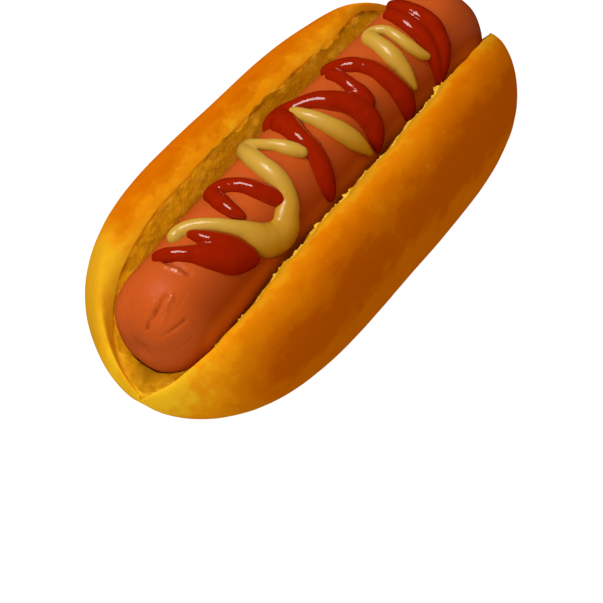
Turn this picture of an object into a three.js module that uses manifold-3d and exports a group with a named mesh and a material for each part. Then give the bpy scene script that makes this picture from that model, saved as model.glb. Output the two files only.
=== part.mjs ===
// A hot dog: a soft split bun, a plump sausage lying in the split, and thick lines of ketchup and
// mustard squeezed over the sausage. Millimetres, Z up. X runs along the bun, and the slit is closed
// to a notch at both ends. The origin is under the middle of the bun, on the plane its base rests on.
import * as THREE from "three";
import { mergeVertices } from "three/addons/utils/BufferGeometryUtils.js";
import Module from "manifold-3d";

// ---- driving dimensions ----

const BUN = {
  halfLength: 75,
  halfWidth: 35.7,
  tipHeight: 11, // height of the two rounded ends
  flatHalfLength: 26.3, // flat part of the base
  flatShare: 0.45, // flat share of the base's half width
  undersideRoundness: 2,
};

// The two halves of the bun beside the split. A pair holds for the -X and the +X end, and a
// roundness is the power of a superellipse.
const LOBES = [
  {
    side: 1,
    taper: 0.034, // the -X end is this share wider than the middle
    endRoundness: [4, 4.5], // of the outline seen from above
    belt: 23.5, // height of the widest line
    crest: 37.4, // height of the ridge
    crestOffset: 27.4,
    crestRise: -0.06, // the ridge is this share higher at the +X end
    crestRoundness: [3.3, 3.4], // of the ridge seen from the side
    opening: 20.6, // half width of the opening
    roll: 35.2, // degrees that the crust rolls over the ridge towards the opening
    swerve: { by: 4.5, from: 40, to: 62 }, // ridge and opening swerve towards +Y
  },
  {
    side: -1,
    taper: 0.022,
    endRoundness: [4, 3.4],
    belt: 21.5,
    crest: 43.8,
    crestOffset: 24.9,
    crestRise: 0.01,
    crestRoundness: [3.2, 3.7],
    opening: 18.5,
    roll: 42.9,
    swerve: { by: 2.2, from: 2.5, to: 57 },
  },
];

const SPLIT = {
  reach: 74.3, // how far the opening runs to both ends
  roundness: [5.3, 9], // of the opening's outline
  seam: 0.4, // half width of the notch past the opening
  cleft: 0.5, // depth of that notch, as a share of the height there
  gap: 0.5, // clearance between the crumb and the sausage
  flareAngle: 41, // degrees below level at which the crumb leaves the edge of the crust
  leaveAngle: 15, // degrees below the sausage's middle where the crumb meets it
  bowlDepth: 6, // a shallower opening is a plain bowl
  snugDepth: 14, // and a deeper one follows the sausage round
  bowlSharpness: 0.9,
  lip: 0.3, // least depth of the notch's floor
  floorDepth: 1.2, // further least depth of the opening's floor
  floorRounding: 1.5,
};

// The torn edge of the crust wanders in and out in two waves.
const EDGE_WAVE = { height: 0.35, long: 19, short: 7.3, shortShare: 0.6 };

const SAUSAGE = {
  radius: 14.2,
  halfLength: 69.8,
  middle: -0.9, // its middle lies this far along X
  axisHeight: 30.8,
  tilt: 0.95, // the axis is this much higher at the bun's +X end
  arch: 2.5, // and this much lower at both ends than in the middle
  endRoundness: 2.49,
  folds: 6, // puckers where the casing closes
  foldTurn: -17, // degrees from the top to the first pucker, towards +Y
  foldDepth: 0.45,
  dimple: 0.9,
  dimpleRadius: 3,
};

// A line of sauce is a bead as tall as its width asks, sunk a little into the skin.
const BEAD = { baseHeight: 0.9, heightShare: 0.4, sunk: 1, step: 2.3, sides: 8 };
const MUSTARD_LIFT = 0.5; // the mustard went on after the near ketchup

// Each squeeze of sauce as [x, degrees round the sausage from its top towards +Y, half width].
const KETCHUP = [
  [
    [-54.7, 26, 1.5], [-53.5, 16, 2.2], [-52, 4, 2.3], [-50.4, -8, 2.7], [-48.8, -20, 3.9],
    [-46.2, -34, 4.8], [-42.7, -45, 4], [-40.4, -54, 2],
  ],
  [[-45.6, 11, 1.1], [-44.9, -4, 2.2], [-43.7, -20, 2.9], [-41.9, -36, 2.9], [-40.5, -48, 2.4]],
  [
    [-23.2, -38, 1.5], [-23.7, -32, 2.2], [-24.5, -22, 2.5], [-25.3, -11, 2.4], [-25.9, 2, 2.2],
    [-27, 14, 2.2], [-28.2, 25, 2.4], [-30.1, 33, 2.2],
  ],
  [[-30.9, 32, 2.2], [-33, 14, 2.2], [-34.2, -1, 2], [-34.4, -12, 1.6], [-34.2, -18, 1]],
  [
    [-2, 47, 2.3], [0.9, 44, 3.6], [4.3, 30, 2.7], [6.5, 20, 2.7], [8.3, 10, 2.8],
    [9.7, -2, 3], [11.4, -14, 3.1], [12.7, -26, 3.3], [12.9, -40, 3.2], [12.7, -53, 3.1],
    [11.6, -64, 2.6], [10.8, -72, 1.6], [10.5, -78, 0.9],
  ],
  [
    [-0.3, 35, 3.6], [-3.8, 7, 2.9], [-5.2, -9, 2.5], [-5.9, -24, 2.5], [-7.1, -37, 2.5],
    [-8.3, -48, 2.6], [-9.3, -58, 2.5], [-10, -68, 1.9], [-10.5, -75, 1],
  ],
  [
    [20.9, 37, 1.7], [22.3, 23, 2.4], [23.7, 11, 2.5], [25, -3, 2.3], [25.8, -18, 2.5],
    [25.8, -33, 2.7], [26.1, -46, 2.9], [26, -59, 3], [25.6, -70, 2.4], [24.7, -77, 1.3],
  ],
  [[18.7, 22, 1.7], [17.9, 5, 1.9], [17.1, -8, 2.1], [16.8, -19, 2.3], [16.2, -30, 2.3]],
  [
    [51.3, 36, 1.8], [49.9, 13, 2.4], [49.4, -6, 2.7], [49, -23, 2.7], [47.8, -36, 2.7],
    [46, -48, 2.7], [43.7, -59, 2.4], [41.8, -67, 1.9], [39.5, -74, 1.1],
  ],
  [
    [46.6, 24, 2], [45.2, 4, 2.4], [44.4, -12, 2.4], [43.9, -25, 2.4], [43, -36, 2.4],
    [41.9, -47, 2.1], [40.8, -58, 1.6], [39.6, -70, 1.1],
  ],
];

const MUSTARD = [
  [
    [-47.8, 28, 1.1], [-45.5, 26, 1.6], [-43.5, 18, 1.6], [-41.8, 7, 1.5], [-40.2, -6, 1.7],
    [-38.6, -18, 2], [-36.9, -29, 2.4], [-35.8, -39, 3.1], [-34.2, -51, 3.7], [-31.1, -60, 3.9],
    [-27.5, -60, 3.6], [-24.9, -51, 3.1], [-22.6, -45, 2.6], [-20.9, -35, 2.5], [-19.7, -24, 2.5],
    [-18.9, -10, 2.6], [-18.1, 6, 2.4], [-16.3, 24, 2.3], [-13.4, 45, 2], [-10, 56, 1.5],
    [-11.5, 37, 1.5], [-11.7, 20, 1.4], [-10.8, 8, 1.6], [-10.2, -3, 1.9], [-9.5, -12, 1.8],
    [-8.9, -19, 1.4],
  ],
  [
    [1.8, 22, 1.3], [1.6, 8, 1.8], [2.1, -5, 2], [2.7, -19, 2.2], [3.7, -34, 2.5],
    [4.7, -47, 2.4], [5.7, -59, 1.7], [7, -72, 0.5],
  ],
  [
    [39.8, -43, 0.9], [38.9, -37, 1.4], [38.4, -27, 1.6], [38.4, -16, 1.6], [38.8, -3, 1.5],
    [39.2, 9, 1.3], [37.9, 20, 1.6], [35.5, 21, 2], [34.4, 11, 2.1], [33.4, -2, 2.2],
    [32.7, -13, 2.5], [31.9, -25, 2.4], [31.5, -34, 2.1], [30.8, -45, 1.6], [30.3, -56, 0.7],
  ],
];

// How finely each form is divided.
const STATIONS = { bun: 58, sausage: 42 };
const SAUSAGE_SIDES = 36;
const LOBE_POINTS = { flat: 2, under: 5, shoulder: 6, roll: 3, crumb: 12 };

const BREAD_COLOUR = 0xd98a1e;
const SAUSAGE_COLOUR = 0xb4502c;

// ---- shared geometry ----

const mix = THREE.MathUtils.lerp;
const radians = THREE.MathUtils.degToRad;

const clamp01 = (t) => THREE.MathUtils.clamp(t, 0, 1);

// 1 in the middle of a form and 0 at its ends, where q is 1.
const taperTo = (q, power) => Math.sqrt(Math.max(1 - Math.abs(q) ** power, 0));

// The lower of two heights, with the corner between them rounded.
function softLower(a, b, rounding) {
  const h = clamp01(0.5 + (0.5 * (b - a)) / rounding);
  return mix(b, a, h) - rounding * h * (1 - h);
}

// Places from -1 to 1, close together at both ends, without the ends themselves.
function crowdedPlaces(count) {
  return Array.from({ length: count }, (_, i) => -Math.cos((Math.PI * (i + 1)) / (count + 1)));
}

// A closed skin over rings of equal length, with a point at each end. Rings run anticlockwise
// when seen from the end point, looking back along the form.
function skinOver(startPoint, rings, endPoint) {
  const count = rings[0].length;
  const points = [startPoint, ...rings.flat(), endPoint];
  const at = (ring, i) => 1 + ring * count + (i % count);
  const faces = [];
  for (let i = 0; i < count; i++) {
    faces.push(0, at(0, i + 1), at(0, i));
    for (let ring = 0; ring + 1 < rings.length; ring++) {
      const corners = [at(ring, i), at(ring, i + 1), at(ring + 1, i + 1), at(ring + 1, i)];
      faces.push(corners[0], corners[1], corners[2], corners[0], corners[2], corners[3]);
    }
    faces.push(points.length - 1, at(rings.length - 1, i), at(rings.length - 1, i + 1));
  }
  const geometry = new THREE.BufferGeometry().setFromPoints(points);
  geometry.setIndex(faces);
  return geometry;
}

// ---- sausage ----

function sausageAxisHeight(x) {
  const q = (x - SAUSAGE.middle) / BUN.halfLength;
  return SAUSAGE.axisHeight + SAUSAGE.tilt * q - SAUSAGE.arch * q * q;
}

// Radius at a place along X, of the sausage itself or of a form that clears it by some margin.
function sausageRadius(x, margin = 0) {
  const capLength = SAUSAGE.radius + margin;
  const straight = SAUSAGE.halfLength - SAUSAGE.radius;
  const q = clamp01((Math.abs(x - SAUSAGE.middle) - straight) / capLength);
  return capLength * (1 - q ** SAUSAGE.endRoundness) ** (1 / SAUSAGE.endRoundness);
}

// The casing is drawn together at both ends: folds run into the dimple at the tip.
function sausageBody() {
  const rings = crowdedPlaces(STATIONS.sausage).map((place) => {
    const x = SAUSAGE.middle + SAUSAGE.halfLength * place;
    const radius = sausageRadius(x);
    const pucker = Math.sqrt(1 - radius / SAUSAGE.radius) * Math.min(radius / SAUSAGE.dimpleRadius, 1);
    const inward = SAUSAGE.dimple * Math.exp(-((radius / SAUSAGE.dimpleRadius) ** 2));
    return Array.from({ length: SAUSAGE_SIDES }, (_, i) => {
      const angle = (2 * Math.PI * i) / SAUSAGE_SIDES;
      const fold = Math.cos((SAUSAGE.folds * (angle - radians(SAUSAGE.foldTurn))) / 2) ** 2;
      const r = radius - SAUSAGE.foldDepth * pucker * fold;
      return new THREE.Vector3(
        x - Math.sign(place) * inward,
        r * Math.sin(angle),
        sausageAxisHeight(x) + r * Math.cos(angle),
      );
    }).reverse();
  });
  const tips = [-1, 1].map((end) => {
    const x = SAUSAGE.middle + end * SAUSAGE.halfLength;
    return new THREE.Vector3(x - end * SAUSAGE.dimple, 0, sausageAxisHeight(x));
  });
  return skinOver(tips[0], rings, tips[1]);
}

// ---- sauce ----

// A point on the sausage, and the direction straight out of it there.
function onSausage(x, angle) {
  const out = new THREE.Vector3(0, Math.sin(angle), Math.cos(angle));
  const foot = new THREE.Vector3(x, 0, sausageAxisHeight(x)).addScaledVector(out, sausageRadius(x));
  return { foot, out };
}

function bead(squeeze, lift) {
  const unrolled = squeeze.map(([x, degrees, half]) => {
    return new THREE.Vector3(x, radians(degrees) * SAUSAGE.radius, half);
  });
  const route = new THREE.CatmullRomCurve3(unrolled, false, "centripetal");
  const steps = Math.max(4, Math.round(route.getLength() / BEAD.step));
  const places = route.getSpacedPoints(steps);
  const spots = places.map((place) => onSausage(place.x, place.y / SAUSAGE.radius));
  const rings = [];
  const ends = [];
  for (let i = 0; i <= steps; i++) {
    const { foot, out } = spots[i];
    const before = spots[Math.max(i - 1, 0)].foot;
    const along = spots[Math.min(i + 1, steps)].foot.clone().sub(before).normalize();
    const across = new THREE.Vector3().crossVectors(out, along).normalize();
    const half = places[i].z;
    const height = BEAD.baseHeight + BEAD.heightShare * half + lift;
    if (i === 0 || i === steps) {
      const outwards = along.multiplyScalar(i === 0 ? -half : half);
      ends.push(foot.clone().add(outwards).addScaledVector(out, -BEAD.sunk / 2));
    }
    rings.push(
      Array.from({ length: BEAD.sides }, (_, k) => {
        const turn = (2 * Math.PI * (k + 0.5)) / BEAD.sides;
        const up = Math.sin(turn) > 0 ? height * Math.sin(turn) : BEAD.sunk * Math.sin(turn);
        return foot.clone().addScaledVector(across, half * Math.cos(turn)).addScaledVector(out, up);
      }),
    );
  }
  return skinOver(ends[0], rings, ends[1]);
}

// ---- bun ----

// How far the torn edge stands out of its smooth line at x.
function edgeWave(x, lobe) {
  const long = Math.sin((2 * Math.PI * x) / EDGE_WAVE.long + lobe.side);
  const short = Math.sin((2 * Math.PI * x) / EDGE_WAVE.short);
  return EDGE_WAVE.height * (long + EDGE_WAVE.shortShare * short);
}

// One side of the ring round the bun at x, from the middle of the base out round the crust, over
// the ridge, down into the opening, to the middle of the opening's floor. Past the ends of the
// opening the same points make the closed notch between the lobes.
function lobeOutline(x, lobe) {
  const s = x / BUN.halfLength;
  const end = x < 0 ? 0 : 1;
  const ends = taperTo(s, lobe.endRoundness[end]);
  const widthHere = (1 - lobe.taper * s) * ends;
  const width = BUN.halfWidth * widthHere;
  const flat = BUN.flatShare * width;
  const tipward = clamp01((Math.abs(x) - BUN.flatHalfLength) / (BUN.halfLength - BUN.flatHalfLength));
  const base = BUN.tipHeight * (1 - taperTo(tipward, BUN.undersideRoundness));
  const { by, from, to } = lobe.swerve;
  const swerve = lobe.side * by * THREE.MathUtils.smoothstep(x, from, to);
  const rise = lobe.crest * (1 + lobe.crestRise * s) - BUN.tipHeight;
  const crest = new THREE.Vector2(
    lobe.crestOffset * widthHere + swerve * ends,
    BUN.tipHeight + rise * taperTo(s, lobe.crestRoundness[end]),
  );
  const belt = base + (crest.y - base) * (lobe.belt / lobe.crest);

  const open = taperTo(Math.min(Math.abs(x) / SPLIT.reach, 1), SPLIT.roundness[end]);
  const roll = radians(lobe.roll);
  const rolledDrop = (crest.y - belt) * (1 - Math.cos(roll));
  const drop = mix(SPLIT.cleft * (crest.y - base), rolledDrop, open);
  const wanted = (lobe.opening + edgeWave(x, lobe) + swerve) * open + SPLIT.seam * ends;
  const edge = new THREE.Vector2(Math.min(wanted, crest.x), crest.y - drop);

  const outline = [];
  const stretch = (count, pointAt) => {
    for (let i = 0; i < count; i++) outline.push(pointAt(i / count));
  };
  stretch(LOBE_POINTS.flat, (t) => new THREE.Vector2(flat * t, base));
  stretch(LOBE_POINTS.under, (t) => {
    const turn = (t * Math.PI) / 2;
    return new THREE.Vector2(
      flat + (width - flat) * Math.sin(turn),
      base + (belt - base) * (1 - Math.cos(turn)),
    );
  });
  stretch(LOBE_POINTS.shoulder, (t) => {
    const turn = (t * Math.PI) / 2;
    return new THREE.Vector2(
      crest.x + (width - crest.x) * Math.cos(turn),
      belt + (crest.y - belt) * Math.sin(turn),
    );
  });
  stretch(LOBE_POINTS.roll, (t) => {
    const inwards = mix(t, Math.sin(t * roll) / Math.sin(roll), open);
    const rolled = (1 - Math.cos(t * roll)) / (1 - Math.cos(roll));
    const down = mix((1 - Math.cos(Math.PI * t)) / 2, rolled, open);
    return new THREE.Vector2(mix(crest.x, edge.x, inwards), crest.y - drop * down);
  });
  stretch(LOBE_POINTS.crumb, (t) => crumbPoint(x, t, edge, open));
  outline.push(crumbPoint(x, 1, edge, open));
  return outline;
}

// The torn inner face, from the edge of the crust (t = 0) to the floor under the sausage (t = 1).
// Where the opening is deep it flares down to the sausage and then follows it round; near the
// ends of the opening it is a shallow bowl.
function crumbPoint(x, t, edge, open) {
  const axis = sausageAxisHeight(x);
  const radius = sausageRadius(x, SPLIT.gap);
  const shallowest = edge.y - SPLIT.lip - SPLIT.floorDepth * open;
  const floor = softLower(axis - radius, shallowest, SPLIT.floorRounding);
  const leave = radians(SPLIT.leaveAngle);
  const snug = new THREE.Vector2();
  if (t < 0.5) {
    const meet = new THREE.Vector2(radius * Math.cos(leave), axis - radius * Math.sin(leave));
    flarePoint(t / 0.5, edge, meet, snug);
  } else {
    const turn = mix(leave, Math.PI / 2, (t - 0.5) / 0.5);
    snug.set(radius * Math.cos(turn), axis - radius * Math.sin(turn));
  }
  const turn = (t * Math.PI) / 2;
  const bowl = new THREE.Vector2(
    edge.x * Math.max(Math.cos(turn), 0) ** SPLIT.bowlSharpness,
    edge.y - (edge.y - floor) * Math.sin(turn) ** SPLIT.bowlSharpness,
  );
  const deep = THREE.MathUtils.smoothstep(edge.y - floor, SPLIT.bowlDepth, SPLIT.snugDepth);
  return bowl.lerp(snug, deep);
}

// A smooth run from the edge of the crust (u = 0) to where the crumb meets the sausage (u = 1).
function flarePoint(u, edge, meet, target) {
  const pull = edge.distanceTo(meet);
  const [flare, leave] = [radians(SPLIT.flareAngle), radians(SPLIT.leaveAngle)];
  const toMeet = 3 * u ** 2 - 2 * u ** 3;
  const out = pull * (u ** 3 - 2 * u ** 2 + u);
  const back = pull * (u ** 3 - u ** 2);
  target.lerpVectors(edge, meet, toMeet);
  target.x -= out * Math.cos(flare) + back * Math.sin(leave);
  target.y -= out * Math.sin(flare) + back * Math.cos(leave);
}

function bunBody() {
  const rings = crowdedPlaces(STATIONS.bun).map((place) => {
    const x = BUN.halfLength * place;
    const [left, right] = LOBES.map((lobe) =>
      lobeOutline(x, lobe).map((p) => new THREE.Vector3(x, lobe.side * p.x, p.y)),
    );
    // Both sides share the middle of the base and of the floor.
    return [...left, ...right.slice(1, -1).reverse()];
  });
  const [nearTip, farTip] = [-1, 1].map((end) => {
    return new THREE.Vector3(end * BUN.halfLength, 0, BUN.tipHeight);
  });
  return skinOver(nearTip, rings, farTip);
}

// ---- the finished pieces ----

const wasm = await Module();
wasm.setup();

function solidFrom(geometry) {
  const bare = mergeVertices(geometry);
  return new wasm.Manifold(
    new wasm.Mesh({
      numProp: 3,
      vertProperties: new Float32Array(bare.attributes.position.array),
      triVerts: new Uint32Array(bare.index.array),
    }),
  );
}

function geometryFrom(solid) {
  const mesh = solid.getMesh();
  const geometry = new THREE.BufferGeometry();
  geometry.setAttribute("position", new THREE.BufferAttribute(mesh.vertProperties, 3));
  geometry.setIndex(new THREE.BufferAttribute(mesh.triVerts, 1));
  geometry.computeVertexNormals();
  return geometry;
}

function dressedSausage() {
  const beads = [
    ...KETCHUP.map((squeeze) => bead(squeeze, 0)),
    ...MUSTARD.map((squeeze) => bead(squeeze, MUSTARD_LIFT)),
  ];
  const bare = solidFrom(sausageBody());
  return geometryFrom(beads.reduce((whole, one) => whole.add(solidFrom(one)), bare));
}

function piece(name, geometry, color, roughness) {
  const material = new THREE.MeshStandardMaterial({ color, roughness, metalness: 0 });
  const mesh = new THREE.Mesh(geometry, material);
  mesh.name = name;
  return mesh;
}

const hotDog = new THREE.Group();
hotDog.add(piece("bun", bunBody(), BREAD_COLOUR, 0.75));
hotDog.add(piece("sausage", dressedSausage(), SAUSAGE_COLOUR, 0.35));

export default hotDog;
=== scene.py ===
import math

import bpy
import numpy as np
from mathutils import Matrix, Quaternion, Vector


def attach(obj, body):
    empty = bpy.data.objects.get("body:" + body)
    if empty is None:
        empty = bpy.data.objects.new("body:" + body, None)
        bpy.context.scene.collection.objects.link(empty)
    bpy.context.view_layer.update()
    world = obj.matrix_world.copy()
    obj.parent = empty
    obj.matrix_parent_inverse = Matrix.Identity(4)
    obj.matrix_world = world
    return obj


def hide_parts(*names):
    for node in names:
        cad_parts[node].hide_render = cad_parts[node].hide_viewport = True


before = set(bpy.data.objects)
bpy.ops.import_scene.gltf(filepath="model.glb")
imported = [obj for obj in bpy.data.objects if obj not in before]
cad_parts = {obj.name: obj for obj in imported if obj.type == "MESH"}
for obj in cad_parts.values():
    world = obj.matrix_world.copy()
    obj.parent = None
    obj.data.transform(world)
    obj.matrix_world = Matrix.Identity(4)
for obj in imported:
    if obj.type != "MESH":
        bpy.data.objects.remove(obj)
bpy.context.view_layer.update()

# ---- bun ----
# A soft wheat bun, baked in one piece and split along the top. Its smooth browned crust rolls over
# both lobes to a torn edge, below which the pale crumb shows down to the sausage.

MM = 0.001

# Lengths are in millimetres. X runs along the bun, Y across it and Z up out of the split.
HALF_LENGTH = 75.0
HALF_WIDTH = 35.7
TIP_HEIGHT = 11.0
FLAT_HALF_LENGTH = 26.3
FLAT_SHARE = 0.45
UNDERSIDE_ROUNDNESS = 2.0

# The halves beside the split. A pair holds for the -X and the +X end.
LEFT_LOBE = dict(
    side=1,
    taper=0.034,
    end_roundness=(4.0, 4.5),
    belt=23.5,
    crest=37.4,
    crest_offset=27.4,
    crest_rise=-0.06,
    crest_roundness=(3.3, 3.4),
    opening=20.6,
    ragged=0.3,
    roll=math.radians(35.2),
    swerve=dict(by=4.5, start=40.0, stop=62.0),
)
RIGHT_LOBE = dict(
    side=-1,
    taper=0.022,
    end_roundness=(4.0, 3.4),
    belt=21.5,
    crest=43.8,
    crest_offset=24.9,
    crest_rise=0.01,
    crest_roundness=(3.2, 3.7),
    opening=18.5,
    ragged=1.0,
    roll=math.radians(42.9),
    swerve=dict(by=2.2, start=2.5, stop=57.0),
)

SPLIT_REACH = 74.3
SPLIT_ROUNDNESS = (5.3, 9.0)
SEAM = 0.4
CLEFT = 0.5
GAP = 0.05
FLARE_ANGLE = math.radians(41)
LEAVE_ANGLE = math.radians(15)
CONTACT_DEPTH = 1.0
BOWL_SHARPNESS = 0.9
LIP = 0.3
FLOOR_SWELL = 1.6
FLOOR_ROUNDING = 0.6

EDGE_WAVE = dict(height=0.35, long=19.0, short=7.3, short_share=0.6)

SAUSAGE_RADIUS = 14.2
SAUSAGE_HALF_LENGTH = 70.4
SAUSAGE_MIDDLE = -1.5
AXIS_HEIGHT = 30.8
AXIS_TILT = 0.95
AXIS_ARCH = 2.5
SAUSAGE_ROUNDNESS = 2.49

# Rings along the bun and points round one lobe, with how much both crowd where the shape is fine.
BUN_STATIONS = 424
LOBE_POINTS = dict(flat=6, under=12, shoulder=22, roll=32, crumb=44)
END_CROWDING = 0.28
ROLL_CROWDING = 0.6
CRUMB_CROWDING = 0.45
TIP_RIM_DISTANCE = 10.0


def taper_to(q, power):
    return np.sqrt(np.clip(1 - np.abs(q) ** power, 0, None))


def mix(a, b, t):
    return a + (b - a) * t


def smooth(t):
    t = np.clip(t, 0, 1)
    return t * t * (3 - 2 * t)


def soft_lower(a, b, rounding):
    h = np.clip(0.5 + 0.5 * (b - a) / rounding, 0, 1)
    return mix(b, a, h) - rounding * h * (1 - h)


def sausage_axis(x):
    q = (x - SAUSAGE_MIDDLE) / HALF_LENGTH
    return AXIS_HEIGHT + AXIS_TILT * q - AXIS_ARCH * q * q


def sausage_radius(x, margin=0.0):
    cap = SAUSAGE_RADIUS + margin
    straight = SAUSAGE_HALF_LENGTH - SAUSAGE_RADIUS
    q = np.clip((np.abs(x - SAUSAGE_MIDDLE) - straight) / cap, 0, 1)
    return cap * (1 - q**SAUSAGE_ROUNDNESS) ** (1 / SAUSAGE_ROUNDNESS)


def edge_wave(x, lobe):
    wander = np.sin(2 * np.pi * x / EDGE_WAVE["long"] + lobe["side"])
    wander = wander + EDGE_WAVE["short_share"] * np.sin(2 * np.pi * x / EDGE_WAVE["short"])
    return EDGE_WAVE["height"] * lobe["ragged"] * wander


def crumb_wall(x, t, edge_y, edge_z, opened):
    """The torn inner face from the edge of the crust (t = 0) to the floor under the sausage."""
    axis = sausage_axis(x)
    radius = sausage_radius(x, GAP)
    shelf_z = edge_z - LIP + FLOOR_SWELL * opened
    floor = soft_lower(axis - radius, shelf_z, FLOOR_ROUNDING)
    leave = np.arcsin(np.clip((axis - shelf_z) / radius, math.sin(LEAVE_ANGLE), 1))
    meet_y = radius * np.cos(leave)
    meet_z = axis - radius * np.sin(leave)
    pull = np.hypot(edge_y - meet_y, edge_z - meet_z)
    u = np.clip(t / 0.5, 0, 1)
    to_meet = 3 * u**2 - 2 * u**3
    out = pull * (u**3 - 2 * u**2 + u)
    back = pull * (u**3 - u**2)
    flare_y = mix(edge_y, meet_y, to_meet) - out * math.cos(FLARE_ANGLE) - back * np.sin(leave)
    flare_z = mix(edge_z, meet_z, to_meet) - out * math.sin(FLARE_ANGLE) - back * np.cos(leave)
    turn = mix(leave, math.pi / 2, np.clip((t - 0.5) / 0.5, 0, 1))
    snug_y = np.where(t < 0.5, flare_y, radius * np.cos(turn))
    snug_z = np.where(t < 0.5, flare_z, axis - radius * np.sin(turn))
    quarter = t * math.pi / 2
    bowl_y = edge_y * np.clip(np.cos(quarter), 0, None) ** BOWL_SHARPNESS
    bowl_z = edge_z - (edge_z - floor) * np.sin(quarter) ** BOWL_SHARPNESS
    deep = smooth((shelf_z - axis + radius) / CONTACT_DEPTH)
    return mix(bowl_y, snug_y, deep), mix(bowl_z, snug_z, deep)


def lobe_outline(x, lobe):
    """One side of the ring round the bun at each x: its y, its z and its distance from the rim."""
    s = x / HALF_LENGTH
    ends = taper_to(s, np.where(x < 0, *lobe["end_roundness"]))
    width_here = (1 - lobe["taper"] * s) * ends
    width = HALF_WIDTH * width_here
    flat = FLAT_SHARE * width
    tipward = np.clip((np.abs(x) - FLAT_HALF_LENGTH) / (HALF_LENGTH - FLAT_HALF_LENGTH), 0, 1)
    base = TIP_HEIGHT * (1 - taper_to(tipward, UNDERSIDE_ROUNDNESS))
    by, start, stop = lobe["swerve"].values()
    swerve = lobe["side"] * by * smooth((x - start) / (stop - start))
    crest_y = lobe["crest_offset"] * width_here + swerve * ends
    rise = lobe["crest"] * (1 + lobe["crest_rise"] * s) - TIP_HEIGHT
    crest_z = TIP_HEIGHT + rise * taper_to(s, np.where(x < 0, *lobe["crest_roundness"]))
    belt = base + (crest_z - base) * (lobe["belt"] / lobe["crest"])
    split_roundness = np.where(x < 0, *SPLIT_ROUNDNESS)
    opened = taper_to(np.minimum(np.abs(x) / SPLIT_REACH, 1), split_roundness)
    roll = lobe["roll"]
    drop = mix(CLEFT * (crest_z - base), (crest_z - belt) * (1 - math.cos(roll)), opened)
    wanted = (lobe["opening"] + edge_wave(x, lobe) + swerve) * opened + SEAM * ends
    edge_y = np.minimum(wanted, crest_y)
    edge_z = crest_z - drop

    def steps(name, crowd=0.0):
        t = np.arange(LOBE_POINTS[name])[None, :] / LOBE_POINTS[name]
        return mix(t, 1 - (1 - t) ** 2, crowd)

    parts = []
    t = steps("flat")
    parts.append((flat * t, base + 0 * t))
    turn = steps("under") * math.pi / 2
    parts.append((flat + (width - flat) * np.sin(turn), base + (belt - base) * (1 - np.cos(turn))))
    turn = steps("shoulder") * math.pi / 2
    shoulder_y = crest_y + (width - crest_y) * np.cos(turn)
    parts.append((shoulder_y, belt + (crest_z - belt) * np.sin(turn)))
    t = steps("roll", ROLL_CROWDING)
    inwards = mix(t, np.sin(t * roll) / math.sin(roll), opened)
    rolled = (1 - np.cos(t * roll)) / (1 - math.cos(roll))
    down = mix((1 - np.cos(math.pi * t)) / 2, rolled, opened)
    parts.append((mix(crest_y, edge_y, inwards), crest_z - drop * down))
    t = np.append(np.arange(LOBE_POINTS["crumb"]) / LOBE_POINTS["crumb"], 1.0)[None, :]
    parts.append(crumb_wall(x, mix(t, t * t, CRUMB_CROWDING), edge_y, edge_z, opened))
    y = np.concatenate([part[0] for part in parts], axis=1)
    z = np.concatenate([part[1] for part in parts], axis=1)
    steps_along = np.hypot(np.diff(y, axis=1), np.diff(z, axis=1))
    along = np.concatenate([np.zeros_like(x), np.cumsum(steps_along, axis=1)], axis=1)
    rim_at = sum(LOBE_POINTS[name] for name in ("flat", "under", "shoulder", "roll"))
    return lobe["side"] * y, z, along[:, rim_at : rim_at + 1] - along


def skin_over(start, rings, end):
    """Points and faces of a closed skin over a row of rings, pointed at both ends."""
    stations, count = rings.shape[:2]
    points = np.concatenate([[start], rings.reshape(-1, 3), [end]])
    first = 1 + np.arange(stations - 1)[:, None] * count
    here = np.arange(count)[None, :]
    after = (here + 1) % count
    following = first + count
    quads = np.stack([first + here, first + after, following + after, following + here], axis=-1)
    last = 1 + (stations - 1) * count
    faces = quads.reshape(-1, 4).tolist()
    faces += [(0, 1 + (i + 1) % count, 1 + i) for i in range(count)]
    faces += [(len(points) - 1, last + i, last + (i + 1) % count) for i in range(count)]
    return points, faces


def made_object(name, points, faces):
    """A smooth object with its points, given in millimetres, in the shared frame."""
    mesh = bpy.data.meshes.new(name)
    mesh.from_pydata((points * MM).tolist(), [], faces)
    mesh.shade_smooth()
    thing = bpy.data.objects.new(name, mesh)
    bpy.context.collection.objects.link(thing)
    return thing


# The attribute "rim" is the distance from the torn rim in millimetres, below 0 on the crumb.
u = np.linspace(-1, 1, BUN_STATIONS + 2)[1:-1]
crowded = (1 - END_CROWDING) * u + END_CROWDING * u**3
stations_x = HALF_LENGTH * np.sin(math.pi / 2 * crowded)[:, None]
left_y, left_z, left_rim = lobe_outline(stations_x, LEFT_LOBE)
right_y, right_z, right_rim = lobe_outline(stations_x, RIGHT_LOBE)
ring_y = np.concatenate([left_y, right_y[:, -2:0:-1]], axis=1)
ring_z = np.concatenate([left_z, right_z[:, -2:0:-1]], axis=1)
ring_rim = np.concatenate([left_rim, right_rim[:, -2:0:-1]], axis=1)
rings = np.stack([stations_x + 0 * ring_y, ring_y, ring_z], axis=-1)
tips = [np.array([end * HALF_LENGTH, 0.0, TIP_HEIGHT]) for end in (-1, 1)]
bun = made_object("bun_bread", *skin_over(tips[0], rings, tips[1]))
rim = bun.data.attributes.new("rim", "FLOAT", "POINT")
rim_values = np.concatenate([[TIP_RIM_DISTANCE], ring_rim.ravel(), [TIP_RIM_DISTANCE]])
rim.data.foreach_set("value", rim_values.astype(np.float32))


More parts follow.
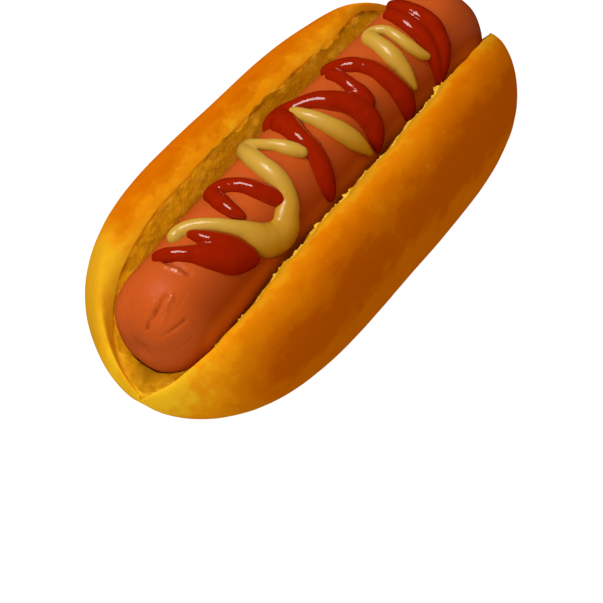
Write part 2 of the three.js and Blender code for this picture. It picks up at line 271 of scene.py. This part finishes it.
class Wire:
    """An output of a node. Arithmetic on it adds Math nodes to the tree being built."""

    tree = None

    def __init__(self, socket):
        self.socket = socket

    @classmethod
    def node(cls, kind, settings=None, sockets=None, output=0):
        made = cls.tree.nodes.new(kind)
        for name, value in (settings or {}).items():
            setattr(made, name, value)
        for key, value in (sockets or {}).items():
            if isinstance(value, Wire):
                cls.tree.links.new(value.socket, made.inputs[key])
            else:
                made.inputs[key].default_value = value
        return cls(made.outputs[output])

    def sibling(self, output):
        return Wire(self.socket.node.outputs[output])

    def math(self, operation, *values):
        sockets = dict(enumerate((self, *values)))
        return Wire.node("ShaderNodeMath", {"operation": operation}, sockets)

    def __add__(self, other):
        return self.math("ADD", other)

    __radd__ = __add__

    def __mul__(self, other):
        return self.math("MULTIPLY", other)

    __rmul__ = __mul__

    def __sub__(self, other):
        return self.math("SUBTRACT", other)

    def __rsub__(self, other):
        return self.math("MULTIPLY_ADD", -1.0, other)

    def __truediv__(self, other):
        return self.math("DIVIDE", other)

    def __pow__(self, other):
        return self.math("POWER", other)

    def __neg__(self):
        return self.math("MULTIPLY", -1.0)

    def between(self, low, high):
        """0 where this is at low or past it, 1 at high, and smooth between them."""
        settings = {"interpolation_type": "SMOOTHSTEP"}
        sockets = {"Value": self, "From Min": low, "From Max": high}
        return Wire.node("ShaderNodeMapRange", settings, sockets)


def vector_math(operation, *values, output=0):
    sockets = dict(enumerate(values))
    return Wire.node("ShaderNodeVectorMath", {"operation": operation}, sockets, output)


def times(vector, factor):
    return Wire.node("ShaderNodeVectorMath", {"operation": "SCALE"}, {0: vector, "Scale": factor})


def split_xyz(vector):
    x = Wire.node("ShaderNodeSeparateXYZ", None, {0: vector})
    return x, x.sibling(1), x.sibling(2)


def noise(place, size, detail=3.0, roughness=0.5):
    """Noise from about 0 to 1, with marks about size millimetres across."""
    sockets = {"Vector": place, "Scale": 1 / (size * MM), "Detail": detail, "Roughness": roughness}
    return Wire.node("ShaderNodeTexNoise", None, sockets)


def stretched(place, stretch):
    """The place seen by a texture whose marks are stretched by these factors along X, Y and Z."""
    return vector_math("MULTIPLY", place, [1 / factor for factor in stretch])


def paint(red, green, blue):
    """A display colour, each part from 0 to 255, as the linear colour that shaders take."""
    parts = [part / 255 for part in (red, green, blue)]
    linear = [part / 12.92 if part < 0.04 else ((part + 0.055) / 1.055) ** 2.4 for part in parts]
    return linear + [1.0]


def blend(factor, first, second):
    sockets = {"Factor": factor, 6: first, 7: second}
    return Wire.node("ShaderNodeMix", {"data_type": "RGBA"}, sockets, output=2)


def through(value, stops):
    """The colour at a value, from stops of (value, colour) that go up from 0 to 1."""
    (here, colour), *later = stops
    for following, next_colour in later:
        colour = blend(value.between(here, following), colour, next_colour)
        here = following
    return colour


def geometry_tree(name, inputs):
    """A new tree with a geometry input and output and the named number inputs, as wires."""
    tree = bpy.data.node_groups.new(name, "GeometryNodeTree")
    tree.interface.new_socket("Geometry", in_out="INPUT", socket_type="NodeSocketGeometry")
    for label in inputs:
        kind = "NodeSocketMaterial" if label == "Material" else "NodeSocketFloat"
        tree.interface.new_socket(label, in_out="INPUT", socket_type=kind)
    tree.interface.new_socket("Geometry", in_out="OUTPUT", socket_type="NodeSocketGeometry")
    entry = tree.nodes.new("NodeGroupInput")
    Wire.tree = tree
    return tree, {socket.name: Wire(socket) for socket in entry.outputs if socket.name}


def position():
    return Wire.node("GeometryNodeInputPosition")


def number_kept(name):
    """The number that each point of the mesh keeps under a name."""
    return Wire.node("GeometryNodeInputNamedAttribute", {"data_type": "FLOAT"}, {"Name": name})


def moved(geometry, **sockets):
    """The geometry with its points at a new Position, or moved by an Offset."""
    return Wire.node("GeometryNodeSetPosition", None, {"Geometry": geometry, **sockets})


def blurred(place, iterations, weight=1.0):
    """The place of each point, averaged with its neighbours' places."""
    sockets = {"Value": place, "Iterations": iterations, "Weight": weight}
    return Wire.node("GeometryNodeBlurAttribute", {"data_type": "FLOAT_VECTOR"}, sockets)


def finish_tree(geometry, material):
    solid = Wire.node("GeometryNodeRealizeInstances", None, {"Geometry": geometry})
    shaded = Wire.node("GeometryNodeSetShadeSmooth", None, {"Geometry": solid})
    painted = Wire.node("GeometryNodeSetMaterial", None, {"Geometry": shaded, "Material": material})
    leaving = Wire.tree.nodes.new("NodeGroupOutput")
    Wire.tree.links.new(painted.socket, leaving.inputs[0])


def grow(thing, tree, values):
    """Runs a geometry tree on an object and leaves the result as its plain mesh."""
    modifier = thing.modifiers.new(tree.name, "NODES")
    modifier.node_group = tree
    for item in tree.interface.items_tree:
        if item.in_out == "INPUT" and item.name in values:
            modifier[item.identifier] = values[item.name]
    graph = bpy.context.evaluated_depsgraph_get()
    graph.update()
    mesh = bpy.data.meshes.new_from_object(thing.evaluated_get(graph), depsgraph=graph)
    thing.modifiers.clear()
    mesh.name = thing.name
    if thing.type == "MESH":
        thing.data = mesh
        return thing
    grown = bpy.data.objects.new(thing.name, mesh)
    bpy.context.collection.objects.link(grown)
    bpy.data.objects.remove(thing)
    grown.name = mesh.name
    return grown


def new_material(name):
    material = bpy.data.materials.new(name)
    material.use_nodes = True
    material.node_tree.nodes.clear()
    Wire.tree = material.node_tree
    return material


def close_material(sockets, bumps=()):
    """Adds the surface shader, with its bumps as (height wire, depth in millimetres)."""
    sockets = dict(sockets)
    for height, depth in bumps:
        values = {"Height": height, "Distance": depth * MM, "Strength": 1.0}
        if "Normal" in sockets:
            values["Normal"] = sockets["Normal"]
        sockets["Normal"] = Wire.node("ShaderNodeBump", None, values)
    surface = Wire.node("ShaderNodeBsdfPrincipled", None, sockets)
    leaving = Wire.tree.nodes.new("ShaderNodeOutputMaterial")
    Wire.tree.links.new(surface.socket, leaving.inputs["Surface"])


def object_place():
    return Wire.node("ShaderNodeTexCoord", output=3)


def attribute(name):
    return Wire.node("ShaderNodeAttribute", {"attribute_name": name}, output=2)


# The crust from its palest to its brownest, by how far it is baked.
BAKING = [
    (0.0, paint(242, 186, 30)),
    (0.25, paint(233, 143, 10)),
    (0.5, paint(213, 118, 3)),
    (0.75, paint(204, 102, 0)),
    (1.0, paint(188, 84, 0)),
]
SIDE_YELLOW = paint(207, 148, 23)
SMEAR = paint(240, 172, 44)
BASE_BROWN = paint(176, 92, 2)
CRUMB = paint(206, 138, 10)
CRUMB_PALE = paint(208, 146, 28)
CRUMB_FAR = paint(174, 109, 5)
# Darker crumb, both for the pores and as painted shade deep in the pocket next to the sausage.
CRUMB_PORES_AND_SHADE = paint(154, 94, 6)
TORN_GOLD = paint(208, 142, 20)
TORN_LIP = paint(232, 186, 58)

# The right half begins at the middle of the bun, with a soft border.
RIGHT_HALF = (0.004, -0.004)
# How the right lobe browns away from its rim, as (amount, from, to) in millimetres.
RIGHT_BROWNING = [(0.38, 3, 10), (0.2, 9, 16), (0.28, 14, 23), (-0.3, 26, 37)]
# The palest end of each lobe, as (none yet, all of it) along X in metres.
LEFT_PALE_TOP = (-0.044, -0.056)
LEFT_PALE_FLANK = (-0.026, -0.068)
RIGHT_PALE = (-0.053, -0.075)

bread = new_material("baked_bread")
place = object_place()
x, y, z = split_xyz(place)
rim_distance = attribute("rim")
right_side = y.between(*RIGHT_HALF)
mottle = noise(stretched(place, (1.8, 1, 1)), 3.5, 4, 0.6) - 0.5
patches = noise(stretched(place, (1.5, 1, 1)), 15, 3) - 0.5
pale_top = x.between(*LEFT_PALE_TOP)
pale_flank = (x + (mottle + patches) * 6 * MM).between(*LEFT_PALE_FLANK)
pale_left = pale_top + (pale_flank - pale_top) * rim_distance.between(7, 18)
pale_end = pale_left + (x.between(*RIGHT_PALE) - pale_left) * right_side

baked_from = rim_distance + (noise(place, 7, 4, 0.6) - 0.5) * 10
left_baking = 0.2 + 0.54 * baked_from.between(1, 8)
right_baking = 0.16
for amount, start, stop in RIGHT_BROWNING:
    right_baking = right_baking + amount * baked_from.between(start, stop)
right_baking = right_baking + 0.1 * x.between(0.01, 0.04)
baking = left_baking + (right_baking - left_baking) * right_side
baking = baking * (1 - 0.86 * pale_end) + mottle * 0.4 + patches * 0.42
skin = through(baking, BAKING)
skin = blend(pale_left * rim_distance.between(3, 9) * y.between(0.01, 0.02), skin, SIDE_YELLOW)
smears = noise(stretched(place, (1, 2.5, 1.5)), 2.2, 3, 0.6).between(0.62, 0.78)
skin = blend(0.3 * smears * rim_distance.between(26, 10), skin, SMEAR)
skin = blend(z.between(0.006, 0.0015), skin, BASE_BROWN)

torn = rim_distance + (noise(place, 2.0, 4, 0.6) - 0.5) * (0.8 + 2 * right_side)
torn = torn + (noise(place, 6, 3) - 0.5) * 5 * (1 - right_side) * (1 - pale_left)
edge_softness = 0.3 + 2.5 * x.between(-0.066, -0.072)
crust = torn.between(-edge_softness, 0.3)
gold = (rim_distance + (mottle + patches) * 9).between(9, 4) * right_side * (1 - pale_end)
frayed = noise(place, 4.5, 3, 0.6).between(0.34, 0.6)
lip = (torn - frayed).between(1.2, 0.1) * (0.5 + 0.5 * frayed) * right_side
lip = lip * x.math("ABSOLUTE").between(0.073, 0.069)
tears = noise(stretched(place, (2.2, 1, 1)), 2.8, 3, 0.5)
inner = blend(x.between(-0.03, 0.02), CRUMB, CRUMB_FAR)
inner = blend(tears.between(0.45, 0.72) * 0.8, inner, CRUMB_PALE)
pores = noise(place, 2.4, 2, 0.5).between(0.56, 0.34)
# Painted shade: the crumb darkens deeper below the rim towards the sausage. The pores are darker crumb
# of their own.
deep = (rim_distance + (tears - 0.5) * 6).between(-2.5, -9)
inner = blend((pores * 0.4).math("MAXIMUM", deep * 0.8), inner, CRUMB_PORES_AND_SHADE)
inner = blend(torn.between(-2.2, -0.6) * right_side, inner, TORN_LIP)
skin = blend(gold, skin, TORN_GOLD)
skin = blend(lip, skin, TORN_LIP)
close_material(
    {
        "Base Color": blend(crust, inner, skin),
        "Roughness": 0.85 - 0.25 * crust,
        "Specular IOR Level": 0.0,
    },
    [
        (noise(place, 0.7, 3) * (1 - crust), 0.22),
        (noise(place, 2.2, 4) * crust, 0.05),
    ],
)

NOTCH_SOFTENING = 60

relief, given = geometry_tree(
    "bread_relief",
    [
        "Crust Dents",
        "Torn Edge",
        "Crumb Roughness",
        "Notch Start",
        "Notch End",
        "Blunt Start",
        "Blunt End",
        "Material",
    ],
)
here = position()
out = Wire.node("GeometryNodeInputNormal")
rim_distance = number_kept("rim")
torn = rim_distance.between(0.5, -0.5)
px, py, pz = split_xyz(here)
right_side = py.between(*RIGHT_HALF)
edge_band = rim_distance.math("ABSOLUTE").between(2, 0) * right_side
dents = (noise(here, 26, 2) - 0.5) * 2 * given["Crust Dents"] * pz.between(0.0, 0.004)
teeth = (noise(here, 1.4, 4, 0.65).between(0.36, 0.68) - 0.35) * given["Torn Edge"] * edge_band
wander = (noise(here, 5, 3) - 0.5) * 3.2 * given["Torn Edge"] * edge_band
wander = wander * px.math("ABSOLUTE").between(0.066, 0.058)
crumbs = (noise(stretched(here, (1.8, 1, 1)), 3.2, 4, 0.6) - 0.7) * 2
crumbs = crumbs * given["Crumb Roughness"] * torn
lift = (dents * (1 - torn) + teeth + wander + crumbs) * MM
notch = (px.math("ABSOLUTE") / MM).between(given["Notch Start"], given["Notch End"])
notch = notch * rim_distance.math("ABSOLUTE").between(7, 3)
blunt = (px / MM).between(given["Blunt Start"], given["Blunt End"])
blunt = blunt * rim_distance.math("ABSOLUTE").between(10, 4)
settled = blurred(here, NOTCH_SOFTENING, notch.math("MAXIMUM", blunt))
soft_bun = moved(given["Geometry"], Position=settled)
finish_tree(moved(soft_bun, Offset=times(out, lift)), given["Material"])
grow(
    bun,
    relief,
    {
        "Crust Dents": 0.35,
        "Torn Edge": 1.2,
        "Crumb Roughness": 0.65,
        "Notch Start": 68.0,
        "Notch End": 73.0,
        "Blunt Start": 64.0,
        "Blunt End": 69.0,
        "Material": bread,
    },
)
bun.visible_glossy = False
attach(bun, "root")
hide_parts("bun")

# ---- sausage ----
# A cooked sausage in a thin moist casing that is gathered in folds at both ends. Its near end is
# creased where it was bent and it lies in the split, held by the crumb on both sides.

# Creases as (x, degrees from the top towards +Y) of both ends, depth and half width.
CREASES = [
    ((-63.6, -13), (-67.0, -14), 0.5, 0.5),
    ((-67.0, -14), (-70.4, -13), 0.8, 0.5),
    ((-64.8, -45), (-68.0, -44), 0.5, 0.5),
    ((-68.0, -44), (-69.8, -42), 0.35, 0.45),
    ((-66.2, 56), (-69.9, 36), 0.16, 0.4),
    ((-64.6, 44), (-68.9, 22), 0.12, 0.4),
    ((-61.8, 38), (-66.4, 30), 0.12, 0.45),
    ((-59.8, -28), (-63.4, -31), 0.1, 0.4),
    ((-65.5, -66), (-69.2, -74), 0.14, 0.4),
]
# The groove where the casing is pinched beside the first line of ketchup.
PINCH = ((-55.7, 14), (-55.5, -16), 0.6, 0.7)
# Where the casing bulges beside the pinch and the creases, given like them.
SWELLS = [
    ((-56.8, 13), (-56.5, -13), 0.45, 0.6),
    ((-62.8, -18), (-66.2, -21), 0.4, 0.7),
    ((-66.4, -6), (-67.8, -7), 0.3, 0.6),
    ((-66.6, -24), (-68.6, -30), 0.25, 0.6),
]

# The folds gathered round each tip, and the hollow in its middle.
FOLDS = 6
DIMPLE_RADIUS = 3.0
CREASE_WAVER = 1.6

BALL_FACES = {"Segments": 280, "Rings": 320}


def joined_xyz(x, y, z):
    return Wire.node("ShaderNodeCombineXYZ", None, {0: x, 1: y, 2: z})


def keeping(geometry, name, number):
    """The geometry with a number kept at each point under a name."""
    settings = {"data_type": "FLOAT", "domain": "POINT"}
    sockets = {"Geometry": geometry, "Name": name, "Value": number}
    return Wire.node("GeometryNodeStoreNamedAttribute", settings, sockets)


# The tree lays a ball of radius 1, with its poles at the tips, round the sausage's bent axis.
body, given = geometry_tree(
    "sausage_body",
    [
        "Radius",
        "Half Length",
        "Middle",
        "Roundness",
        "Fold Depth",
        "Fold Turn",
        "Dimple",
        "Material",
    ],
)
ball = Wire.node("GeometryNodeMeshUVSphere", None, {**BALL_FACES, "Radius": 1.0})
px, py, pz = split_xyz(position())
ring = (px * px + py * py).math("SQRT")
sine = -py / ring
cosine = px / ring
along = given["Middle"] + given["Half Length"] * pz
straight = given["Half Length"] - given["Radius"]
q = ((along - given["Middle"]).math("ABSOLUTE") - straight) / given["Radius"]
q = q.math("MAXIMUM", 0.0).math("MINIMUM", 1.0)
power = given["Roundness"]
radius = given["Radius"] * (1 - q**power) ** (power**-1.0)
angle = sine.math("ARCTAN2", cosine)
plain = joined_xyz(along, sine * radius, cosine * radius)
wobble = (noise(plain, 9 / MM, 2) - 0.5) * 0.5
waver = Wire.node("ShaderNodeTexNoise", None, {"Vector": plain, "Scale": 0.45, "Detail": 3.0}, output=1)
wavering = vector_math("MULTIPLY_ADD", waver, [CREASE_WAVER] * 3, plain)
wavering = vector_math("SUBTRACT", wavering, [CREASE_WAVER / 2] * 3)
near_tip = (radius / DIMPLE_RADIUS).math("MINIMUM", 1.0)
pucker = (1 - radius / given["Radius"]).math("SQRT") * near_tip
fold = (FOLDS / 2 * (angle - given["Fold Turn"] + wobble)).math("COSINE") ** 2.0
inward = given["Dimple"] * (-((radius / DIMPLE_RADIUS) ** 2.0)).math("EXPONENT")
swell = (noise(plain, 18 / MM, 2) - 0.5) * 0.35 * near_tip


def skin_point(along_x, degrees):
    turn = math.radians(degrees)
    reach = float(sausage_radius(along_x))
    return Vector((along_x, reach * math.sin(turn), reach * math.cos(turn)))


def groove(first, last, depth, half_width):
    """How deep a crease from one place on the skin to another is at each point."""
    start = skin_point(*first)
    run = skin_point(*last) - start
    away = vector_math("SUBTRACT", wavering, start)
    share = vector_math("DOT_PRODUCT", away, run / run.length_squared, output=1)
    share = share.math("MAXIMUM", 0.0).math("MINIMUM", 1.0)
    apart = vector_math("DISTANCE", away, times(run, share), output=1)
    return depth * (-((apart / half_width) ** 2.0)).math("EXPONENT")


def deepest(first, *others):
    depth = groove(*first)
    for other in others:
        depth = depth.math("MAXIMUM", groove(*other))
    return depth


creased = deepest(PINCH, *CREASES)
bulged = deepest(*SWELLS)
surface = radius - given["Fold Depth"] * pucker * fold + swell - creased + bulged
place = joined_xyz(
    (along - pz.math("SIGN") * inward) * MM,
    sine * surface * MM,
    (sausage_axis(along) + cosine * surface) * MM,
)
marked = keeping(keeping(ball, "crease", creased), "bulge", bulged)
finish_tree(moved(marked, Position=place), given["Material"])

CASING = paint(200, 84, 20)
CASING_DARK = paint(172, 67, 12)
# Painted shade for the sausage's side towards -Y.
CASING_SHADED_FLANK = paint(168, 64, 6)
# Painted light for the lowest strip of the -Y side.
CASING_LIT_LOW_FLANK = paint(214, 104, 14)
# Painted shade for the creases.
CREASE_SHADE = paint(112, 36, 6)

casing_skin = new_material("sausage_casing")
place = object_place()
x, y = split_xyz(place)[:2]
speckle = noise(place, 0.9, 3, 0.6)
patches = noise(place, 11, 3, 0.55)
dark = (patches - 0.5) * 0.9 + (speckle - 0.5) * 0.35 + 0.35
# Painted shade: the sausage's side towards -Y, turned from the key lamp, is painted a darker brown
# along most of its length.
flank_y = y + (patches - 0.5) * 6 * MM - x.between(0.05, 0.066) * 4 * MM
shaded_flank = flank_y.between(-0.003, -0.0115) * x.between(-0.07, -0.056)
casing = blend(dark.between(0, 1), CASING, CASING_DARK)
casing = blend(shaded_flank, casing, CASING_SHADED_FLANK)
# Painted light: the lowest strip of the -Y side lies in the shadow of the bun's rim and is painted a
# lighter orange to lift that shadow.
casing = blend(y.between(-0.0127, -0.0143), casing, CASING_LIT_LOW_FLANK)
# Painted shade: the casing is painted darker where its creases are deepest.
crease = attribute("crease")
moist = attribute("bulge").between(0.01, 0.12) * noise(place, 1.0, 3, 0.6).between(0.4, 0.56)
close_material(
    {
        "Base Color": blend(crease.between(0.1, 0.7) * 0.4, casing, CREASE_SHADE),
        "Roughness": 0.3 + 0.25 * noise(place, 2.5, 3),
        "Specular IOR Level": 0.12,
        "Coat Weight": 0.8 * moist,
        "Coat Roughness": 0.12,
        "Coat IOR": 1.4,
    },
    [(noise(place, 1.4, 3), 0.05), (noise(place, 0.35, 2), 0.012)],
)

sausage = made_object("sausage_body", np.zeros((1, 3)), [])
grow(
    sausage,
    body,
    {
        "Radius": SAUSAGE_RADIUS,
        "Half Length": SAUSAGE_HALF_LENGTH,
        "Middle": SAUSAGE_MIDDLE,
        "Roundness": SAUSAGE_ROUNDNESS,
        "Fold Depth": 0.5,
        "Fold Turn": math.radians(-17),
        "Dimple": 0.9,
        "Material": casing_skin,
    },
)
sausage.visible_glossy = False
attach(sausage, "root")
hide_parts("sausage")

# ---- ketchup ----
# Thick tomato ketchup squeezed from a bottle in zigzags over the sausage. The lines are round
# topped, run together where they cross, and stay wet.

# Each squeeze as (x, degrees round the sausage from its top towards +Y, half width).
KETCHUP = [
    [
        (-54.7, 26, 1.5), (-53.5, 16, 2.1), (-52, 4, 2.2), (-50.2, -8, 2.5), (-48.2, -20, 3.2),
        (-45.4, -34, 3.9), (-42.2, -45, 3.4), (-40.2, -54, 1.9),
    ],
    [(-45.6, 11, 1.1), (-44.9, -4, 2.2), (-43.7, -20, 2.9), (-41.9, -36, 2.9), (-40.5, -48, 2.4)],
    [
        (-23.2, -38, 1.5), (-23.7, -32, 2.2), (-24.5, -22, 2.5), (-25.3, -11, 2.4), (-25.9, 2, 2.2),
        (-27, 14, 2.2), (-28.2, 25, 2.4), (-30.1, 33, 2.2),
    ],
    [(-30.9, 32, 2.2), (-33, 14, 2.2), (-34.2, -1, 2), (-34.4, -12, 1.6), (-34.2, -18, 1)],
    [
        (-2, 47, 2.3), (0.9, 44, 3.6), (4.3, 30, 2.7), (6.5, 20, 2.7), (8.3, 10, 2.8),
        (9.7, -2, 3), (11.4, -14, 3.1), (12.7, -26, 3.3), (12.9, -40, 3.2), (12.7, -53, 3.1),
        (11.6, -64, 2.6), (10.8, -72, 1.6), (10.5, -78, 0.9),
    ],
    [
        (-0.3, 35, 3.6), (-3.8, 7, 2.9), (-5.2, -9, 2.5), (-5.9, -24, 2.5), (-7.1, -37, 2.5),
        (-8.3, -48, 2.6), (-9.3, -58, 2.5), (-10, -68, 1.9), (-10.5, -75, 1),
    ],
    [
        (20.9, 37, 1.7), (22.3, 23, 2.4), (23.7, 11, 2.5), (25, -3, 2.3), (25.8, -18, 2.5),
        (25.8, -33, 2.7), (26.1, -46, 2.9), (26, -59, 3), (25.6, -70, 2.4), (24.7, -77, 1.3),
    ],
    [(18.7, 22, 1.7), (17.9, 5, 1.9), (17.1, -8, 2.1), (16.8, -19, 2.3), (16.2, -30, 2.3)],
    [
        (51.3, 36, 1.8), (49.9, 13, 2.4), (49.4, -6, 2.7), (49, -23, 2.7), (47.8, -36, 2.7),
        (46, -48, 2.7), (43.7, -59, 2.4), (41.8, -67, 1.9), (39.5, -74, 1.1),
    ],
    [
        (46.6, 24, 2), (45.2, 4, 2.4), (44.4, -12, 2.4), (43.9, -25, 2.4), (43, -36, 2.4),
        (41.9, -47, 2.1), (40.8, -58, 1.6), (39.6, -70, 1.1),
    ],
]
BEAD_HEIGHT = 0.9
BEAD_HEIGHT_SHARE = 0.4
SPREAD = 1.12
GRAIN = 0.3 * MM

# The tree turns each dot of a route, at (x, arc round the sausage, half width), into a ball that
# is sunk in the sausage up to the line's width, and melts the balls into one.
squeeze, given = geometry_tree(
    "squeezed_sauce",
    ["Base Height", "Height Share", "Unevenness", "Voxel", "Material"],
)
route = Wire.node(
    "GeometryNodeCurveSplineType",
    {"spline_type": "CATMULL_ROM"},
    {"Curve": given["Geometry"]},
)
route = Wire.node("GeometryNodeResampleCurve", {"mode": "LENGTH"}, {"Curve": route, "Length": GRAIN})
dots = Wire.node("GeometryNodeCurveToPoints", {"mode": "EVALUATED"}, {"Curve": route})
here = position()
x, arc, half = [part / MM for part in split_xyz(here)]
turn = arc / SAUSAGE_RADIUS
half = half * (SPREAD + (noise(here, 3.2, 2) - 0.5) * given["Unevenness"])
height = given["Base Height"] + given["Height Share"] * half
ball = (half * half + height * height) / (2 * height)
centre = SAUSAGE_RADIUS - ball + height
place = joined_xyz(
    x * MM,
    turn.math("SINE") * centre * MM,
    (sausage_axis(x) + turn.math("COSINE") * centre) * MM,
)
laid = moved(keeping(dots, "ball", ball * MM), Position=place)
volume = Wire.node(
    "GeometryNodePointsToVolume",
    {"resolution_mode": "VOXEL_SIZE"},
    {"Points": laid, "Voxel Size": given["Voxel"], "Radius": number_kept("ball")},
)
melted = Wire.node(
    "GeometryNodeVolumeToMesh",
    {"resolution_mode": "VOXEL_SIZE"},
    {"Volume": volume, "Voxel Size": given["Voxel"], "Threshold": 0.1, "Adaptivity": 0.0},
)
finish_tree(moved(melted, Position=blurred(position(), 5)), given["Material"])


def squeezed(name, squeezes, values):
    """A sauce piece: its routes as splines of (x, arc, half width), through the squeeze tree."""
    curve = bpy.data.curves.new(name, "CURVE")
    curve.dimensions = "3D"
    for squeeze_points in squeezes:
        spline = curve.splines.new("POLY")
        spline.points.add(len(squeeze_points) - 1)
        for point, (along_x, degrees, half_width) in zip(spline.points, squeeze_points):
            arc_length = math.radians(degrees) * SAUSAGE_RADIUS
            point.co = (along_x * MM, arc_length * MM, half_width * MM, 1)
    thing = bpy.data.objects.new(name, curve)
    bpy.context.collection.objects.link(thing)
    return grow(thing, squeeze, {"Height Share": BEAD_HEIGHT_SHARE, "Voxel": GRAIN, **values})


KETCHUP_RED = paint(158, 31, 2)
KETCHUP_DARK = paint(136, 22, 0)

ketchup_paint = new_material("wet_ketchup")
place = object_place()
close_material(
    {
        "Base Color": blend(noise(place, 3, 3), KETCHUP_RED, KETCHUP_DARK),
        "Roughness": 0.6,
        "Specular IOR Level": 0.0,
        "Coat Weight": 1.0,
        "Coat Roughness": 0.05,
        "Coat IOR": 1.4,
    },
    [(noise(place, 1.6, 2), 0.05)],
)
ketchup = squeezed(
    "ketchup_lines",
    KETCHUP,
    {"Base Height": BEAD_HEIGHT, "Unevenness": 0.3, "Material": ketchup_paint},
)
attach(ketchup, "root")
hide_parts("sausage")

# ---- mustard ----
# Smooth pale mustard, squeezed over the ketchup in three wider zigzags. It is thicker than the
# ketchup and dries to a satin skin.

MUSTARD = [
    [
        (-47.6, 26, 1.9), (-45.5, 24, 2.1), (-43.5, 16, 2), (-41.8, 5, 1.8), (-40.2, -6, 1.8),
        (-38.6, -18, 2), (-36.9, -29, 2.4), (-35.8, -39, 3.1), (-34.2, -51, 3.7), (-31.1, -60, 3.9),
        (-27.5, -60, 3.6), (-24.9, -51, 3.1), (-22.6, -45, 2.6), (-20.9, -35, 2.5),
        (-19.7, -24, 2.5), (-18.9, -10, 2.6), (-18.1, 6, 2.4), (-16.3, 24, 2.3), (-13.4, 45, 2),
        (-10, 56, 1.5), (-11.5, 37, 1.5), (-11.7, 20, 1.4), (-10.8, 8, 1.6), (-10.2, -3, 1.9),
        (-9.5, -12, 1.8), (-8.9, -19, 1.4),
    ],
    [
        (1.8, 22, 1.3), (1.6, 8, 1.8), (2.1, -5, 2), (2.7, -19, 2.2), (3.7, -34, 2.5),
        (4.7, -47, 2.4), (5.7, -59, 1.7), (7, -72, 0.5),
    ],
    [
        (39.8, -43, 0.9), (38.9, -37, 1.4), (38.4, -27, 1.6), (38.4, -16, 1.6), (38.8, -3, 1.5),
        (39.2, 9, 1.3), (37.9, 20, 1.6), (35.5, 21, 2), (34.4, 11, 2.1), (33.4, -2, 2.2),
        (32.7, -13, 2.5), (31.9, -25, 2.4), (31.5, -34, 2.1), (30.8, -45, 1.6), (30.3, -56, 0.7),
    ],
]
MUSTARD_LIFT = 0.5

MUSTARD_YELLOW = paint(201, 154, 50)
# Painted shade for the mustard's side towards -Y.
MUSTARD_SHADE = paint(194, 138, 22)

mustard_paint = new_material("mustard")
place = object_place()
y = split_xyz(place)[1]
# Painted shade: the mustard turns darker and more orange on the sausage's side towards -Y, away from
# the key lamp.
shaded_side = (y + (noise(place, 5, 3) - 0.5) * 8 * MM).between(-0.001, -0.013)
close_material(
    {
        "Base Color": blend(shaded_side, MUSTARD_YELLOW, MUSTARD_SHADE),
        "Roughness": 0.3,
        "Specular IOR Level": 0.55,
    },
    [(noise(place, 1.0, 3), 0.03)],
)
mustard = squeezed(
    "mustard_lines",
    MUSTARD,
    {"Base Height": BEAD_HEIGHT + MUSTARD_LIFT, "Unevenness": 0.2, "Material": mustard_paint},
)
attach(mustard, "root")
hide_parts("sausage")

# ---- floor, light and camera ----
# A plain white floor, even light from all round, a soft key lamp above and a weaker fill lamp.

FLOOR_SIZE = 6
FLOOR_DROP = 0.0003

bpy.ops.mesh.primitive_plane_add(size=FLOOR_SIZE, location=(0, 0, -FLOOR_DROP))
floor = bpy.context.object
floor.name = "floor"
white = new_material("white_floor")
close_material(
    {
        "Base Color": (0.1, 0.1, 0.1, 1),
        "Roughness": 1.0,
        "Specular IOR Level": 0.0,
        "Emission Color": (1, 1, 1, 1),
        "Emission Strength": 1.0,
    }
)
floor.data.materials.append(white)
floor.visible_diffuse = False
floor.visible_glossy = False

world = bpy.data.worlds.new("studio")
world.use_nodes = True
background = world.node_tree.nodes["Background"]
background.inputs["Color"].default_value = (1, 1, 1, 1)
background.inputs["Strength"].default_value = 0.58
world.cycles_visibility.glossy = False
bpy.context.scene.world = world


LAMP_AIM = Vector((0, 0, 30))
LAMP_DISTANCE = 900


def soft_box(name, towards, size, power):
    """A square lamp in the direction towards, as seen from where it is aimed."""
    light = bpy.data.lights.new(name, "AREA")
    light.size = size * MM
    light.energy = power
    thing = bpy.data.objects.new(name, light)
    bpy.context.collection.objects.link(thing)
    thing.location = (LAMP_AIM + LAMP_DISTANCE * Vector(towards).normalized()) * MM
    thing.rotation_mode = "QUATERNION"
    thing.rotation_quaternion = (-Vector(towards)).to_track_quat("-Z", "Y")
    return thing


soft_box("key", (-0.12, 0.37, 0.89), size=300, power=3.8)
fill = soft_box("fill", (-0.75, 0.05, 0.6), size=500, power=2.2)
fill.visible_glossy = False

CAMERA_TARGET = Vector((-33.0, -19.7, 20.0)) * MM
CAMERA_AZIMUTH = math.radians(-50.55)
CAMERA_ELEVATION = math.radians(48.32)
CAMERA_DISTANCE = 581.1 * MM
CAMERA_ROLL = math.radians(-5.54)
CAMERA_LENS = 138.2
CAMERA_SENSOR = 36

backwards = Vector(
    (
        math.sin(CAMERA_AZIMUTH) * math.cos(CAMERA_ELEVATION),
        -math.cos(CAMERA_AZIMUTH) * math.cos(CAMERA_ELEVATION),
        math.sin(CAMERA_ELEVATION),
    )
)
camera = bpy.data.objects.new("camera", bpy.data.cameras.new("camera"))
bpy.context.collection.objects.link(camera)
camera.data.sensor_width = CAMERA_SENSOR
camera.data.lens = CAMERA_LENS
camera.location = CAMERA_TARGET + CAMERA_DISTANCE * backwards
camera.rotation_mode = "QUATERNION"
camera.rotation_quaternion = backwards.to_track_quat("Z", "Y") @ Quaternion((0, 0, 1), CAMERA_ROLL)
bpy.context.scene.camera = camera
bpy.context.scene.view_settings.view_transform = "Standard"
